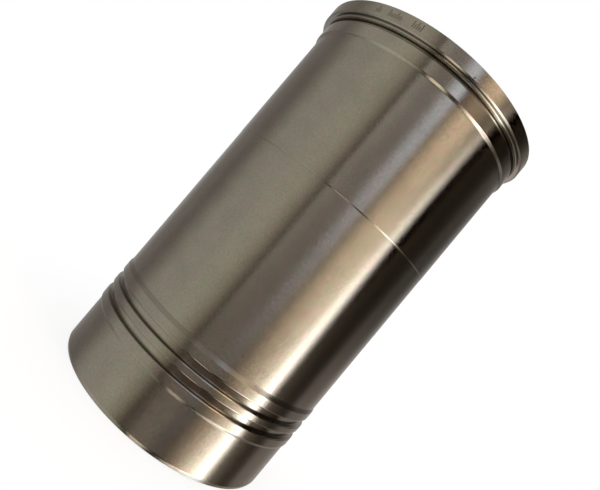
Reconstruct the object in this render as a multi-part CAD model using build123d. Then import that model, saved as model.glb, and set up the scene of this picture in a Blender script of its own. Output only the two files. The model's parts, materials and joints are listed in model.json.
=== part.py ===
from build123d import *
import os

# A wet cylinder liner, turned and bored from one centrifugal casting.
# It stands on its bottom end: Z is the axis of the bore, and heights are measured
# from the bottom end face up to the joint face on top of the flange. All sizes are in mm.

# Bore
bore_diameter = 128.0
bore_top_bevel = 0.8              # under the joint face
bore_lead_height = 4.0            # tapered mouth at the bottom end
bore_lead_depth = 1.0             # how far that mouth widens, on the radius

# Walls and steps, all on the radius
wall = 8.0                        # between the bore and the lower body
body_step = 0.12                  # the upper body stands this much proud of the lower body
pilot_step = 1.3                  # upper centring band, above the lower body
seal_land_step = 0.6              # lower centring band, above the lower body
tail_step = 0.25                  # the tail is this much smaller than the lower body
flange_overhang = 4.5             # flange, above the lower body
seal_groove_depth = 3.0           # from the seal land
relief_depth = 2.3                # from the upper centring band

# Heights of the features, stacked from the bottom end up
tail_height = 29.9
first_land_height = 6.65          # from the tail to the lower groove
seal_groove_width = 4.4
middle_land_height = 4.4          # between the two grooves
last_land_height = 5.65           # from the upper groove to the taper
seal_land_taper_height = 2.4
lower_body_height = 99.8
body_step_height = 0.3
upper_body_height = 72.0
pilot_lead_height = 1.3
pilot_height = 7.8
relief_width = 2.2
shoulder_height = 1.25            # short neck between the relief and the flange's seat
flange_height = 8.25

# Edges and corners. A bevel cuts the same length from both sides of its corner.
end_lead_height = 2.4             # tapered outer edge of the bottom end
end_lead_depth = 1.0
end_face_bevel = 0.3
groove_lip_bevel = 0.3
groove_corner_bevel = 0.6
pilot_root_round = 0.8            # the lead flows out of the body and into the band
pilot_lead_round = 0.6
pilot_top_bevel = 0.6
relief_corner_bevel = 0.5
relief_lip_bevel = 0.6
flange_edge_bevel = 0.85          # lower edge of the flange
joint_face_bevel = 0.25           # outer edge of the joint face

# Radii that follow from the bore and the wall
bore_radius = bore_diameter / 2
body_radius = bore_radius + wall
upper_body_radius = body_radius + body_step
pilot_radius = body_radius + pilot_step
seal_land_radius = body_radius + seal_land_step
tail_radius = body_radius - tail_step
flange_radius = body_radius + flange_overhang
groove_floor_radius = seal_land_radius - seal_groove_depth
relief_radius = pilot_radius - relief_depth

# Heights that follow from the stack
land_edge_height = seal_land_radius - tail_radius    # the land's lower edge is cut at 45 degrees
lower_groove = tail_height + first_land_height
upper_groove = lower_groove + seal_groove_width + middle_land_height
seal_land_top = upper_groove + seal_groove_width + last_land_height
lower_body_bottom = seal_land_top + seal_land_taper_height
lower_body_top = lower_body_bottom + lower_body_height
upper_body_bottom = lower_body_top + body_step_height
upper_body_top = upper_body_bottom + upper_body_height
pilot_bottom = upper_body_top + pilot_lead_height
pilot_top = pilot_bottom + pilot_height
relief_top = pilot_top + relief_width
seat = relief_top + shoulder_height
joint_face = seat + flange_height

corners = []       # the half section's corners, counter-clockwise: (place, bevel, rounding)


def corner(radius, height, bevel=0.0, rounding=0.0):
    corners.append((Vector(radius, height), bevel, rounding))


def outline():
    """The points of the half section, with each bevelled corner cut in two, and their roundings."""
    points, roundings = [], []
    for i, (here, bevel, rounding) in enumerate(corners):
        before, after = corners[i - 1][0], corners[(i + 1) % len(corners)][0]
        if bevel:
            points += [here + (side - here).normalized() * bevel for side in (before, after)]
            roundings += [0.0, 0.0]
        else:
            points.append(here)
            roundings.append(rounding)
    return points, roundings


def bottom_end():
    """The ring that the liner stands on, with a tapered edge outside."""
    corner(bore_radius + bore_lead_depth, 0.0)
    corner(tail_radius - end_lead_depth, 0.0, bevel=end_face_bevel)
    corner(tail_radius, end_lead_height)


def seal_groove(bottom):
    """One groove for a sealing ring, with broken lips and eased corners at its floor."""
    top = bottom + seal_groove_width
    corner(seal_land_radius, bottom, bevel=groove_lip_bevel)
    corner(groove_floor_radius, bottom, bevel=groove_corner_bevel)
    corner(groove_floor_radius, top, bevel=groove_corner_bevel)
    corner(seal_land_radius, top, bevel=groove_lip_bevel)


def seal_land():
    """The lower centring band, cut by two ring grooves, and its taper into the body."""
    corner(tail_radius, tail_height)
    corner(seal_land_radius, tail_height + land_edge_height)
    seal_groove(lower_groove)
    seal_groove(upper_groove)
    corner(seal_land_radius, seal_land_top)
    corner(body_radius, lower_body_bottom)


def coolant_wall():
    """The long plain wall, turned in two settings that meet in a hairline step."""
    corner(body_radius, lower_body_top)
    corner(upper_body_radius, upper_body_bottom)


def upper_pilot():
    """The upper centring band with a blended lead below and a relief groove above."""
    corner(upper_body_radius, upper_body_top, rounding=pilot_root_round)
    corner(pilot_radius, pilot_bottom, rounding=pilot_lead_round)
    corner(pilot_radius, pilot_top, bevel=pilot_top_bevel)
    corner(relief_radius, pilot_top, bevel=relief_corner_bevel)
    corner(relief_radius, relief_top, bevel=relief_corner_bevel)
    corner(pilot_radius, relief_top, bevel=relief_lip_bevel)


def flange():
    """The collar that hangs the liner in its block, with the seat underneath."""
    corner(pilot_radius, seat)
    corner(flange_radius, seat, bevel=flange_edge_bevel)
    corner(flange_radius, joint_face, bevel=joint_face_bevel)


def bore():
    """The working bore, read downwards from the joint face."""
    corner(bore_radius, joint_face, bevel=bore_top_bevel)
    corner(bore_radius, bore_lead_height)


bottom_end()
seal_land()
coolant_wall()
upper_pilot()
flange()
bore()

points, roundings = outline()
with BuildPart() as cylinder_liner:
    with BuildSketch(Plane.XZ):
        with BuildLine():
            FilletPolyline(*points, radius=roundings, close=True)
        make_face()
    revolve(axis=Axis.Z)

cylinder_liner.part.label = "cylinder_liner"

os.makedirs("parts", exist_ok=True)
export_step(cylinder_liner.part, "parts/cylinder_liner.step")
print(f"length {joint_face:.2f}, flange {2 * flange_radius:.2f}, pilot {2 * pilot_radius:.2f}, "
      f"body {2 * body_radius:.2f}, seal land {2 * seal_land_radius:.2f}")
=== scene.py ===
import json
import math

import bpy
import numpy as np
from mathutils import Matrix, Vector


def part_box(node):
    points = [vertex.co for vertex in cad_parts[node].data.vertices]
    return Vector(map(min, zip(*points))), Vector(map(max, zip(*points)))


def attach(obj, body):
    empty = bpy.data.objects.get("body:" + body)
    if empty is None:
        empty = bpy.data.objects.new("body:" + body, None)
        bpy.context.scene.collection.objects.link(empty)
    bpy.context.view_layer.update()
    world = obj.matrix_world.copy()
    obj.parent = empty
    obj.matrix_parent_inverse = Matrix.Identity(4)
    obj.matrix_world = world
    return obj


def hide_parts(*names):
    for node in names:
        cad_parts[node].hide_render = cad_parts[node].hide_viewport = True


# A wet cylinder liner, ground outside and honed inside, standing on its bottom end.

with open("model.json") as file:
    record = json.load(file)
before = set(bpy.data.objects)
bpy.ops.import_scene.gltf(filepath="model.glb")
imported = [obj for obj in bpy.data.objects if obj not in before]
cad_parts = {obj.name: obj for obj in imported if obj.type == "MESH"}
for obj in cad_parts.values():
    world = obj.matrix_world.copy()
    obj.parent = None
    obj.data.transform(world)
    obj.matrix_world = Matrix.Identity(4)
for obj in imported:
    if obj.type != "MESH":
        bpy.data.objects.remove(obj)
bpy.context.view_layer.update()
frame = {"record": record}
linerNode = "cylinder_liner"
mm = 0.001

mounts = {m["name"]: m for m in frame["record"]["mounts"]}
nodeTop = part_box(linerNode)[1]
flangeRadius = nodeTop.x / mm
jointFace = nodeTop.z / mm
flangeSeat = mounts["flange_seat"]["pos_m"][2] / mm
boreRadius = mounts["bore"]["dims"]["r_mm"]
pilotRadius = mounts["upper_pilot"]["dims"]["r_mm"]
landRadius = mounts["seal_land"]["dims"]["r_mm"]
print(f"frame: liner {jointFace:.1f} mm tall, flange radius {flangeRadius:.1f} mm")


class Wire:  # an output socket that can be used in Python expressions
    def __init__(self, graph, socket):
        self.graph, self.socket = graph, socket

    def __getitem__(self, name):  # another output of the same node
        return Wire(self.graph, self.socket.node.outputs[name])

    def maths(self, operation, *others):
        return self.graph.add("ShaderNodeMath", {"operation": operation}, [self, *others])

    def __add__(self, other):
        return self.maths("ADD", other)

    def __sub__(self, other):
        return self.maths("SUBTRACT", other)

    def __mul__(self, other):
        return self.maths("MULTIPLY", other)

    def __truediv__(self, other):
        return self.maths("DIVIDE", other)

    def __rsub__(self, other):
        return self.graph.add("ShaderNodeMath", {"operation": "SUBTRACT"}, [other, self])

    __radd__, __rmul__ = __add__, __mul__


class Graph:  # the node tree of one material or of the world
    def __init__(self, owner):
        owner.use_nodes = True
        self.tree = owner.node_tree
        self.tree.nodes.clear()

    def add(self, kind, settings=None, values=None, output=None):
        # makes a node, sets its settings, then its sockets: a list in order, or a dictionary by name
        node = self.tree.nodes.new(kind)
        for name, value in (settings or {}).items():
            setattr(node, name, value)
        live = [s for s in node.inputs if s.enabled]
        named = list(zip(live, values)) if isinstance(values, list) else [
            (next(s for s in live if s.name == name), value) for name, value in (values or {}).items()]
        for socket, value in named:
            if isinstance(value, Wire):
                self.tree.links.new(value.socket, socket)
            else:
                socket.default_value = value
        outputs = [s for s in node.outputs if s.enabled]
        if not outputs:
            return node
        return Wire(self, next((s for s in outputs if s.name == output), outputs[0]))

    def noise(self, place, size, detail):  # size in mm
        return self.add("ShaderNodeTexNoise", None,
                        {"Vector": place, "Scale": 1 / (size * mm), "Detail": detail})

    def blend(self, factor, first, second):
        return self.add("ShaderNodeMix", {"data_type": "RGBA"}, {"Factor": factor, "A": first, "B": second})

    def rise(self, value, start, end):  # 0 below start, 1 above end, and a smooth curve between them
        return self.add("ShaderNodeMapRange", {"interpolation_type": "SMOOTHSTEP"},
                        {"Value": value, "From Min": start, "From Max": end})


# The liner's half section, in millimetres

liner = {
    "bodyRadius": 72.0,
    "bodyStep": 0.12,            # the upper body stands proud of the lower body
    "tailStep": 0.25,
    "mouthDepth": 1.0,           # tapered mouth of the bore at the bottom end
    "mouthHeight": 4.0,
    "endLead": (0.9, 2.1),       # tapered outer edge of the bottom end: depth and height
    "landEdge": (29.7, 31.2),    # chamfered lower edge of the seal land
    "grooveBottoms": (36.55, 45.35),
    "grooveWidth": 4.4,
    "grooveDepth": 3.0,
    "landTop": 55.4,
    "landTaper": 2.4,
    "stepHeights": (157.3, 157.45, 157.95),    # hairline groove where two turning passes meet
    "stepGroove": 0.14,
    "pilotLead": (230.05, 231.3),
    "reliefHeights": (238.8, 241.05),
    "reliefDepth": 2.3,
    "flangeChamfer": 0.75,       # lower edge of the flange
    "flangeEdge": 0.25,          # bevel of the joint face's outer edge
    "boreEdge": 0.8,             # bevel of the bore under the joint face
    "turns": 300,                # steps round the axis
    "arcSteps": 7,               # steps in each rounded corner
}


def linerCorners(size):
    # The corners of the half section, counter-clockwise: radius, height, rounding, and the finish of the run
    # from this corner to the next
    body, tail = size["bodyRadius"], size["bodyRadius"] - size["tailStep"]
    upperBody = body + size["bodyStep"]
    leadDepth, leadHeight = size["endLead"]
    landBottom, landStart = size["landEdge"]
    floor = landRadius - size["grooveDepth"]
    # The radius of the relief groove's floor
    relief = pilotRadius - size["reliefDepth"]
    stepBottom, stepMiddle, stepTop = size["stepHeights"]
    leadBottom, leadTop = size["pilotLead"]
    reliefBottom, reliefTop = size["reliefHeights"]
    corners = [
        (boreRadius + size["mouthDepth"], 0.0, 0.25, "faced"),
        (tail - leadDepth, 0.0, 0.5, "turned"),
        (tail, leadHeight, 2.0, "ground"),
        (tail, landBottom, 0.3, "land"),
        (landRadius, landStart, 1.7, "land"),
    ]
    for bottom in size["grooveBottoms"]:
        top = bottom + size["grooveWidth"]
        corners += [
            # Painted shade: the run along the groove's lower wall takes a dark colour
            (landRadius, bottom, 0.6, "grooveWall"),
            (floor, bottom, 0.6, "groove"),
            (floor, top, 0.4, "groove"),
            (landRadius, top, 0.9, "land"),
        ]
    corners += [
        # Painted shade: the tapered land from here up is coloured darker
        (landRadius, size["landTop"], 1.2, "taper"),
        (body, size["landTop"] + size["landTaper"], 4.0, "ground"),
        # Painted shade: the hairline groove's upward facet is coloured darker, a painted dark line
        (body, stepBottom, 0.05, "relief"),
        (body - size["stepGroove"], stepMiddle, 0.05, "turned"),
        (upperBody, stepTop, 0.4, "ground"),
        (upperBody, leadBottom, 0.6, "turned"),
        (pilotRadius, leadTop, 0.5, "pilot"),
        # Painted shade: the runs from here to the flange's underside, all but the short neck, are coloured
        # darker: the relief groove's walls and floor and the seat under the flange
        (pilotRadius, reliefBottom, 0.2, "relief"),
        (relief, reliefBottom, 0.7, "relief"),
        (relief, reliefTop, 0.7, "relief"),
        (pilotRadius, reliefTop, 0.15, "turned"),
        (pilotRadius, flangeSeat, 0.8, "relief"),
        (flangeRadius - size["flangeChamfer"], flangeSeat, 0.1, "flange"),
        (flangeRadius, flangeSeat + size["flangeChamfer"], 0.25, "flange"),
        (flangeRadius, jointFace - size["flangeEdge"], 0.1, "faced"),
        (flangeRadius - size["flangeEdge"], jointFace, 0.1, "faced"),
        (boreRadius + size["boreEdge"], jointFace, 0.2, "turned"),
        (boreRadius, jointFace - size["boreEdge"], 0.3, "honed"),
        (boreRadius, size["mouthHeight"], 0.6, "turned"),
    ]
    return corners


def roundedProfile(corners, steps):
    # Each corner becomes an arc tangent to its two runs: its centre lies on the corner's bisector, one radius
    # from both runs, and its points and normals turn evenly from the first run's normal to the second's.
    place = np.array([c[:2] for c in corners])
    radius = np.array([c[2] for c in corners])
    own = np.array([finishNames.index(c[3]) for c in corners])
    before = place - np.roll(place, 1, axis=0)
    run = before / np.linalg.norm(before, axis=1)[:, None]
    following = np.roll(run, -1, axis=0)
    heading = np.arctan2(run[:, 1], run[:, 0])
    cross = run[:, 0] * following[:, 1] - run[:, 1] * following[:, 0]
    turn = np.arctan2(cross, (run * following).sum(1))
    back = radius * np.tan(np.abs(turn) / 2)
    inward = np.stack([-run[:, 1], run[:, 0]], 1) * np.sign(turn)[:, None]
    centre = place - run * back[:, None] + inward * radius[:, None]
    angle = heading[:, None] + turn[:, None] * np.linspace(0, 1, steps + 1)
    normal = np.stack([np.sin(angle), -np.cos(angle)], -1)
    points = centre[:, None] + normal * (radius * np.sign(turn))[:, None, None]
    onArc = np.arange(steps + 1) < steps        # an arc keeps the finish of the run before it
    band = np.where(onArc, np.roll(own, 1)[:, None], own[:, None])
    return points.reshape(-1, 2), normal.reshape(-1, 2), band.ravel()


def revolvedMesh(name, points, normals, band, turns):
    # The closed profile turned round Z: x = radius * cos(angle), y = radius * sin(angle), z = height
    angle = np.arange(turns) * 2 * math.pi / turns
    ring = np.stack([np.cos(angle), np.sin(angle)], -1)
    rings = len(points)

    def spread(pairs):
        flat = pairs[:, None, 0, None] * ring[None]
        return np.concatenate([flat, np.broadcast_to(pairs[:, None, 1:], (rings, turns, 1))], -1)

    i, j = np.meshgrid(np.arange(rings), np.arange(turns), indexing="ij")
    above, beside = (i + 1) % rings, (j + 1) % turns
    quads = np.stack([i * turns + j, i * turns + beside, above * turns + beside, above * turns + j], -1)
    mesh = bpy.data.meshes.new(name)
    mesh.vertices.add(rings * turns)
    mesh.vertices.foreach_set("co", (spread(points) * mm).ravel())
    mesh.loops.add(quads.size)
    mesh.loops.foreach_set("vertex_index", quads.ravel())
    mesh.polygons.add(rings * turns)
    mesh.polygons.foreach_set("loop_start", np.arange(rings * turns) * 4)
    mesh.polygons.foreach_set("material_index", np.repeat(band, turns))
    mesh.update(calc_edges=True)
    mesh.polygons.foreach_set("use_smooth", np.ones(rings * turns, bool))
    mesh.normals_split_custom_set_from_vertices(spread(normals).reshape(-1, 3))
    return mesh


# Finishes of the iron. The fine marks run round the axis, so a highlight is sharp round it and long along it:
# blur is the spread of the tiny facets' slopes in those two directions. Pitch and depth of the marks are in
# mm. The darker colours of the tapered land, the seal groove walls and the relief are painted shade.

iron = (0.40, 0.37, 0.325)
finishes = {
    "ground": {"colour": iron, "blur": (0.022, 0.20), "markPitch": 0.30, "markDepth": 0.005},
    "land": {"colour": iron, "blur": (0.022, 0.20), "markPitch": 0.30, "markDepth": 0.004},
    # Painted shade: the tapered land is coloured darker than the iron to dim its reflection; its wider blur
    # is its own finish
    "taper": {"colour": (0.33, 0.305, 0.265), "blur": (0.03, 0.32), "markPitch": 0.25, "markDepth": 0.004},
    "pilot": {"colour": iron, "blur": (0.018, 0.075), "markPitch": 0.30, "markDepth": 0.003},
    "flange": {"colour": iron, "blur": (0.022, 0.13), "markPitch": 0.35, "markDepth": 0.004},
    "turned": {"colour": iron, "blur": (0.020, 0.10), "markPitch": 0.25, "markDepth": 0.004},
    "groove": {"colour": (0.42, 0.39, 0.34), "blur": (0.016, 0.06), "markPitch": 0.25, "markDepth": 0.003},
    # Painted shade: the lower walls of the seal grooves are coloured dark, as shade in the recess
    "grooveWall": {"colour": (0.20, 0.183, 0.154), "blur": (0.020, 0.08), "markPitch": 0.25,
                   "markDepth": 0.003},
    # Painted shade: the relief groove under the flange, the flange's underside and one facet of the hairline
    # groove are coloured darker, as shade
    "relief": {"colour": (0.31, 0.285, 0.24), "blur": (0.020, 0.08), "markPitch": 0.25, "markDepth": 0.003},
    "faced": {"colour": (0.41, 0.385, 0.345), "blur": (0.030, 0.15), "markPitch": 0.30, "markDepth": 0.005},
    "honed": {"colour": (0.41, 0.39, 0.36), "blur": (0.09, 0.13), "markPitch": 1.8, "markDepth": 0.06,
              "markTone": 1.2},
}
finishNames = list(finishes)

# What every finish shares: sizes in mm, and tones as shares of the colour
mottle = {
    "patch": 12.0,               # large soft patches
    "patchTone": 0.24,
    "speck": 1.0,                # grain
    "speckTone": 0.38,
    "grainDepth": 0.018,
    "gloss": 0.04,               # how far the grain changes the roughness
    "tintSize": 5.0,
    "tintLayer": 3.0,            # which slice of the 4D noise the tints take
    "tintRange": (0.3, 0.7),
    "tints": ((0.955, 1.015, 0.975, 1.0), (1.04, 0.985, 1.02, 1.0)),
    "markTone": 0.06,
    "ringsAcross": 12.0,         # waves of the ring marks per metre across the axis
}
honing = {"crossing": 50.0, "scratch": 25.0, "shifts": (3.0, 11.0)}    # degrees, mm, and a place in the noise


def machinedIron(name, look):
    # Tone = 1 + the sum of (noise - 0.5) * share over patches, grain and marks. A fourth noise blends two
    # tints.
    material = bpy.data.materials.new(name)
    graph = Graph(material)
    place = graph.add("ShaderNodeTexCoord", output="Object")
    patches = graph.noise(place, mottle["patch"], 3.0)
    specks = graph.noise(place, mottle["speck"], 2.0)
    stains = graph.add("ShaderNodeTexNoise", {"noise_dimensions": "4D"},
                       {"Vector": place, "W": mottle["tintLayer"],
                        "Scale": 1 / (mottle["tintSize"] * mm), "Detail": 2.0})
    marks = honingMarks if name == "honed" else ringMarks
    height = marks(graph, place, look["markPitch"])
    cloud = (patches - 0.5) * mottle["patchTone"] + (specks - 0.5) * mottle["speckTone"]
    tone = cloud + (height - 0.5) * look.get("markTone", mottle["markTone"]) + 1.0
    tint = graph.blend(graph.rise(stains, *mottle["tintRange"]), *mottle["tints"])
    plain = graph.add("ShaderNodeVectorMath", {"operation": "MULTIPLY"}, [tint, look["colour"]])
    colour = graph.add("ShaderNodeVectorMath", {"operation": "SCALE"}, {"Vector": plain, "Scale": tone})
    grain = graph.add("ShaderNodeBump", None, {"Distance": mottle["grainDepth"] * mm, "Height": specks})
    bump = graph.add("ShaderNodeBump", None,
                     {"Distance": look["markDepth"] * mm, "Height": height, "Normal": grain})
    around, along = look["blur"]
    roughness = (around * along) ** 0.25        # Cycles squares it, then shares it out between the directions
    stretch = (1 - around / along) / 0.9        # with around / along = 1 - 0.9 * Anisotropic
    shine = graph.add("ShaderNodeBsdfPrincipled", None, {
        "Base Color": colour, "Metallic": 1.0, "Roughness": (specks - 0.5) * mottle["gloss"] + roughness,
        "Anisotropic": stretch, "Anisotropic Rotation": 0.25, "Normal": bump})
    graph.add("ShaderNodeOutputMaterial", None, {"Surface": shine})
    return material


def ringMarks(graph, place, pitch):
    # Noise squeezed along the axis, so that it runs in rings
    across = mottle["ringsAcross"]
    squeeze = graph.add("ShaderNodeMapping", None,
                        {"Vector": place, "Scale": (across, across, 1 / (pitch * mm))})
    return graph.add("ShaderNodeTexNoise", None,
                     {"Vector": squeeze, "Scale": 1.0, "Detail": 3.0, "Roughness": 0.6})


def honingMarks(graph, place, pitch):
    # Two sets of crossing helical scratches: noise over the distance along the bore plus or minus a share of
    # the distance round it
    split = graph.add("ShaderNodeSeparateXYZ", None, {"Vector": place})
    around = split["Y"].maths("ARCTAN2", split["X"]) * (boreRadius * mm)
    helix = math.tan(math.radians(honing["crossing"] / 2))
    sets = []
    for side, shift in zip((helix, -helix), honing["shifts"]):
        across = (split["Z"] + around * side) / (pitch * mm)
        length = around * (1 / (honing["scratch"] * mm))
        spot = graph.add("ShaderNodeCombineXYZ", None, {"X": across, "Y": length, "Z": shift})
        sets.append(graph.add("ShaderNodeTexNoise", None, {"Vector": spot, "Scale": 1.0, "Detail": 2.0}))
    return (sets[0] + sets[1]) * 0.5


def buildLiner():
    points, normals, band = roundedProfile(linerCorners(liner), liner["arcSteps"])
    mesh = revolvedMesh("cylinder_liner_surface", points, normals, band, liner["turns"])
    for name, look in finishes.items():
        mesh.materials.append(machinedIron(name, look))
    piece = bpy.data.objects.new("cylinder_liner_surface", mesh)
    bpy.context.scene.collection.objects.link(piece)
    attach(piece, "root")
    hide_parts(linerNode)
    print(f"liner surface: {len(points)} rings, {2 * len(mesh.polygons)} triangles")


buildLiner()

# Plain etched strokes on the flange, in groups, and one small stain, in mm. Azimuth 0 is the front and 90 the
# right. A group has its middle's azimuth and its strokes' heights as shares of the tallest one.

etching = {
    "groups": (
        (-37.5, (0.6, 1.0, 0.6)),
        (-29.0, (1.0, 0.6, 0.6, 0.6, 1.0, 0.6, 0.6)),
        (-18.5, (1.0, 0.6, 1.0, 0.6, 1.0)),
    ),
    "height": 4.0,
    "width": 0.6,
    "spacing": 1.3,
    "base": 245.0,
    "proud": 0.015,
    "sunk": 0.1,
    "colour": (0.19, 0.17, 0.135, 1.0),
    "roughness": 0.36,
    "stain": (10.3, 244.1, 0.62),          # azimuth, height and radius
    "stainSides": 12,
}


def platesMesh(name, outlines, radius):
    # Each outline, in mm along the flange's face and up it, becomes a thin closed plate on the face:
    # (x, y, z) = (r sin a, -r cos a, height), with a = azimuth + distance along / radius
    vertices, faces = [], []
    for azimuth, outline in outlines:
        first, count = sum(map(len, vertices)), len(outline)
        along, up = np.array(outline).T
        a = math.radians(azimuth) + along / radius
        for r in (radius - etching["sunk"], radius + etching["proud"]):
            vertices.append(np.stack([r * np.sin(a), -r * np.cos(a), up], -1) * mm)
        inner = np.arange(first, first + count)
        beside = np.roll(inner, -1)
        faces += [inner[::-1].tolist(), (inner + count).tolist()]
        faces += np.stack([inner, beside, beside + count, inner + count], -1).tolist()
    mesh = bpy.data.meshes.new(name)
    mesh.from_pydata(np.concatenate(vertices).tolist(), [], faces)
    return mesh


def buildEtching():
    outlines = []
    for azimuth, shares in etching["groups"]:
        for k, share in enumerate(shares):
            middle = (k - (len(shares) - 1) / 2) * etching["spacing"]
            left, right = middle - etching["width"] / 2, middle + etching["width"] / 2
            foot, top = etching["base"], etching["base"] + etching["height"] * share
            outlines.append((azimuth, [(left, foot), (right, foot), (right, top), (left, top)]))
    azimuth, height, radius = etching["stain"]
    turn = np.arange(etching["stainSides"]) * 2 * math.pi / etching["stainSides"]
    outlines.append((azimuth, np.stack([radius * np.cos(turn), height + radius * np.sin(turn)], -1)))
    mesh = platesMesh("etched_strokes", outlines, flangeRadius)
    material = bpy.data.materials.new("etched")
    graph = Graph(material)
    shine = graph.add("ShaderNodeBsdfPrincipled", None, {
        "Base Color": etching["colour"], "Metallic": 1.0, "Roughness": etching["roughness"]})
    graph.add("ShaderNodeOutputMaterial", None, {"Surface": shine})
    mesh.materials.append(material)
    piece = bpy.data.objects.new("etched_strokes", mesh)
    bpy.context.scene.collection.objects.link(piece)
    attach(piece, "root")
    print(f"etching: {len(outlines)} plates")


buildEtching()

# The studio: broad screens and soft lamps all round, seen only in the metal. Bearing 0 is towards the front
# of the liner (-Y) and 90 to its right (+X), and height is the angle above the horizon. Soft and rise are how
# wide the edges of bearing and height are. All are in degrees.

studio = {
    "roomColour": (0.023, 0.018, 0.012),
    "screens": {
        "grey wall": {"bearing": (-98.5, -29), "soft": (35, 29.5), "height": (-74, 62), "rise": (20.5, 30),
                      "colour": (0.5, 0.49, 0.44)},
        "grey wall glow": {"bearing": (-56, -22), "soft": (1.5, 13.5), "height": (-83.5, 62),
                           "rise": (20, 30), "colour": (0.043, 0.045, 0.013)},
        "grey wall foot": {"bearing": (-128, -30), "soft": (24, 24), "height": (-64, -42), "rise": (10, 10),
                           "colour": (0.22, 0.215, 0.19)},
        "left rear": {"bearing": (-260, -105), "soft": (20, 37), "height": (-76, 62), "rise": (18.5, 30),
                      "colour": (0.25, 0.23, 0.22)},
        "back": {"bearing": (-260, -150), "soft": (20, 40.5), "height": (-85.5, 62), "rise": (22.5, 30),
                 "colour": (0.25, 0.27, 0.28)},
        "front": {"bearing": (-37, 26.5), "soft": (3.5, 5), "height": (-76, 62), "rise": (25.5, 30),
                  "colour": (0.026, 0.006, 0)},
        "front high": {"bearing": (-31, 18.5), "soft": (29, 8.5), "height": (-10.5, 62), "rise": (18, 30),
                       "colour": (0.27, 0.26, 0.24)},
        "front strip": {"bearing": (-15, -14), "soft": (2, 28.5), "height": (-4.5, 62), "rise": (49, 30),
                        "colour": (0.54, 0.54, 0.49)},
        "cool lamp": {"bearing": (16, 26.5), "soft": (16, 7.5), "height": (10.5, 62), "rise": (7.5, 30),
                      "colour": (1.07, 1.21, 1.44)},
        "tan wall": {"bearing": (35, 43.5), "soft": (14, 3), "height": (-65.5, 62), "rise": (23.5, 30),
                     "colour": (0.12, 0.073, 0.052)},
        "tan step": {"bearing": (41.5, 62), "soft": (69, 13.5), "height": (-3.5, 7.5), "rise": (6, 20.5),
                     "colour": (5.5, 4.69, 3.56)},
        "tan lamp": {"bearing": (40.5, 64), "soft": (32, 9), "height": (36, 62), "rise": (8.5, 30),
                     "colour": (6.6, 5.08, 3.68)},
        "highlight heart": {"bearing": (61.5, 68.5), "soft": (4, 4), "height": (-4, 22), "rise": (12, 10),
                            "colour": (0.62, 0.49, 0.36)},
        "warm window": {"bearing": (68.5, 69), "soft": (25, 8.5), "height": (-47.5, 10.5), "rise": (6, 6),
                        "colour": (11.7, 11.3, 10.8)},
        "warm window heart": {"bearing": (68.5, 71), "soft": (8.5, 18.5), "height": (-53.5, -3.5),
                              "rise": (8.5, 27), "colour": (23.5, 22.7, 22)},
        "right low wall": {"bearing": (51.5, 74.5), "soft": (17, 66.5), "height": (-44, -29),
                           "rise": (10, 46), "colour": (4.58, 3.92, 3.21)},
        "right low lamp": {"bearing": (51.5, 72), "soft": (17, 16), "height": (-60, -44), "rise": (29, 10),
                           "colour": (4.58, 3.92, 3.21)},
        "right rear high": {"bearing": (125.5, 260), "soft": (7.5, 20), "height": (23, 62), "rise": (6, 30),
                            "colour": (0.2, 0.18, 0.14)},
        "right rear": {"bearing": (112, 260), "soft": (1.5, 20), "height": (-77, 62), "rise": (25.5, 30),
                       "colour": (0.038, 0.04, 0.039)},
        "right rear strip": {"bearing": (108, 196), "soft": (7, 148.5), "height": (-54, -7),
                             "rise": (16, 17), "colour": (0.26, 0.22, 0.2)},
        "right back": {"bearing": (157.5, 260), "soft": (66.5, 20), "height": (-62, 62), "rise": (16, 30),
                       "colour": (0.73, 0.69, 0.68)},
        "low front lamp": {"bearing": (-11, 18), "soft": (8, 14), "height": (-73, -46), "rise": (14, 10),
                           "colour": (1.8, 1.63, 1.35)},
        "low side lamp": {"bearing": (90.5, 104.5), "soft": (4.5, 17.5), "height": (-81.5, -46),
                          "rise": (13, 6), "colour": (4.24, 4.82, 4.8)},
        "high cool lamp": {"bearing": (-18, 30), "soft": (8, 8), "height": (52, 84), "rise": (16, 16),
                           "colour": (1.1, 1.17, 1.4)},
        "ceiling": {"height": (84, 200), "rise": (10, 20), "colour": (0.3, 0.3, 0.3)},
        "ground": {"height": (-200, -86), "rise": (20, 13.5), "colour": (0.046, 0.08, 0.098)},
    },
}
white = (1.0, 1.0, 1.0, 1.0)


def window(graph, value, edges, soft):
    # 1 between two edges, falling smoothly to 0 across each edge's softness
    low, high = edges
    start = graph.rise(value, low - soft[0] / 2, low + soft[0] / 2)
    return start - graph.rise(value, high - soft[1] / 2, high + soft[1] / 2)


def buildStudio():
    world = bpy.data.worlds.new("studio")
    bpy.context.scene.world = world
    graph = Graph(world)
    toward = graph.add("ShaderNodeTexCoord", output="Generated")
    heading = graph.add("ShaderNodeSeparateXYZ", None, {"Vector": toward})
    bearing = heading["X"].maths("ARCTAN2", heading["Y"] * -1.0) * (180 / math.pi)
    height = heading["Z"].maths("ARCSINE") * (180 / math.pi)
    light = studio["roomColour"]
    for screen in studio["screens"].values():
        share = window(graph, height, screen["height"], screen["rise"])
        if "bearing" in screen:
            share = share * window(graph, bearing, screen["bearing"], screen["soft"])
        glow = graph.add("ShaderNodeVectorMath", {"operation": "SCALE"},
                         {"Vector": screen["colour"], "Scale": share})
        light = graph.add("ShaderNodeVectorMath", {"operation": "ADD"}, [light, glow])
    path = graph.add("ShaderNodeLightPath")
    plain = path["Is Camera Ray"].maths("MAXIMUM", path["Is Diffuse Ray"])
    seen = graph.blend(plain, light, white)
    sky = graph.add("ShaderNodeBackground", None, {"Color": seen, "Strength": 1.0})
    graph.add("ShaderNodeOutputWorld", None, {"Surface": sky})
    print(f"studio: {len(studio['screens'])} screens and lamps")


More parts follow.
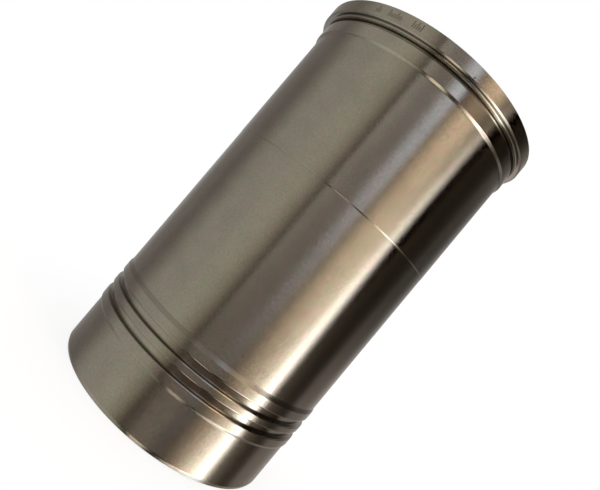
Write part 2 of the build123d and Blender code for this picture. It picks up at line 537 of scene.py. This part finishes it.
# A pale paper floor, made whiter for the camera by a share of plain white. Half is half its width, in metres.
floorLook = {"half": 6.0, "colour": (0.95, 0.95, 0.95, 1.0), "ownWhite": 0.75, "glow": 1.06}


def buildFloor():
    half = floorLook["half"]
    mesh = bpy.data.meshes.new("studio_floor")
    square = [(-half, -half, 0), (half, -half, 0), (half, half, 0), (-half, half, 0)]
    mesh.from_pydata(square, [], [(0, 1, 2, 3)])
    floor = bpy.data.objects.new("studio_floor", mesh)
    bpy.context.scene.collection.objects.link(floor)
    floor.visible_glossy = False
    material = bpy.data.materials.new("studio_floor")
    graph = Graph(material)
    paper = graph.add("ShaderNodeBsdfDiffuse", None, {"Color": floorLook["colour"]})
    glow = graph.add("ShaderNodeEmission", None, {"Color": white, "Strength": floorLook["glow"]})
    camera = graph.add("ShaderNodeLightPath")["Is Camera Ray"]
    mix = graph.add("ShaderNodeMixShader", None, [camera * floorLook["ownWhite"], paper, glow])
    graph.add("ShaderNodeOutputMaterial", None, {"Surface": mix})
    mesh.materials.append(material)
    print("floor laid")


# Where the camera stands and the nearest thing it sees, in metres, how it is turned, in degrees, and its lens
# and sensor in mm
viewpoint = {"distance": 0.3222, "height": 0.1189, "roll": 40.068, "tilt": 1.101, "pan": -1.162,
             "lens": 30.52, "sensor": 36.0, "nearest": 0.01}


def buildCamera():
    data = bpy.data.cameras.new("camera")
    data.sensor_width = viewpoint["sensor"]
    data.lens = viewpoint["lens"]
    data.clip_start = viewpoint["nearest"]
    camera = bpy.data.objects.new("camera", data)
    bpy.context.scene.collection.objects.link(camera)
    turns = [("X", 90.0), ("Z", viewpoint["roll"]), ("X", viewpoint["tilt"]), ("Y", viewpoint["pan"])]
    pose = Matrix.Translation((0.0, -viewpoint["distance"], viewpoint["height"]))
    for axis, degrees in turns:
        pose = pose @ Matrix.Rotation(math.radians(degrees), 4, axis)
    camera.matrix_world = pose
    bpy.context.scene.camera = camera
    print("camera placed")


buildStudio()
buildFloor()
buildCamera()
bpy.context.scene.view_settings.view_transform = "Standard"
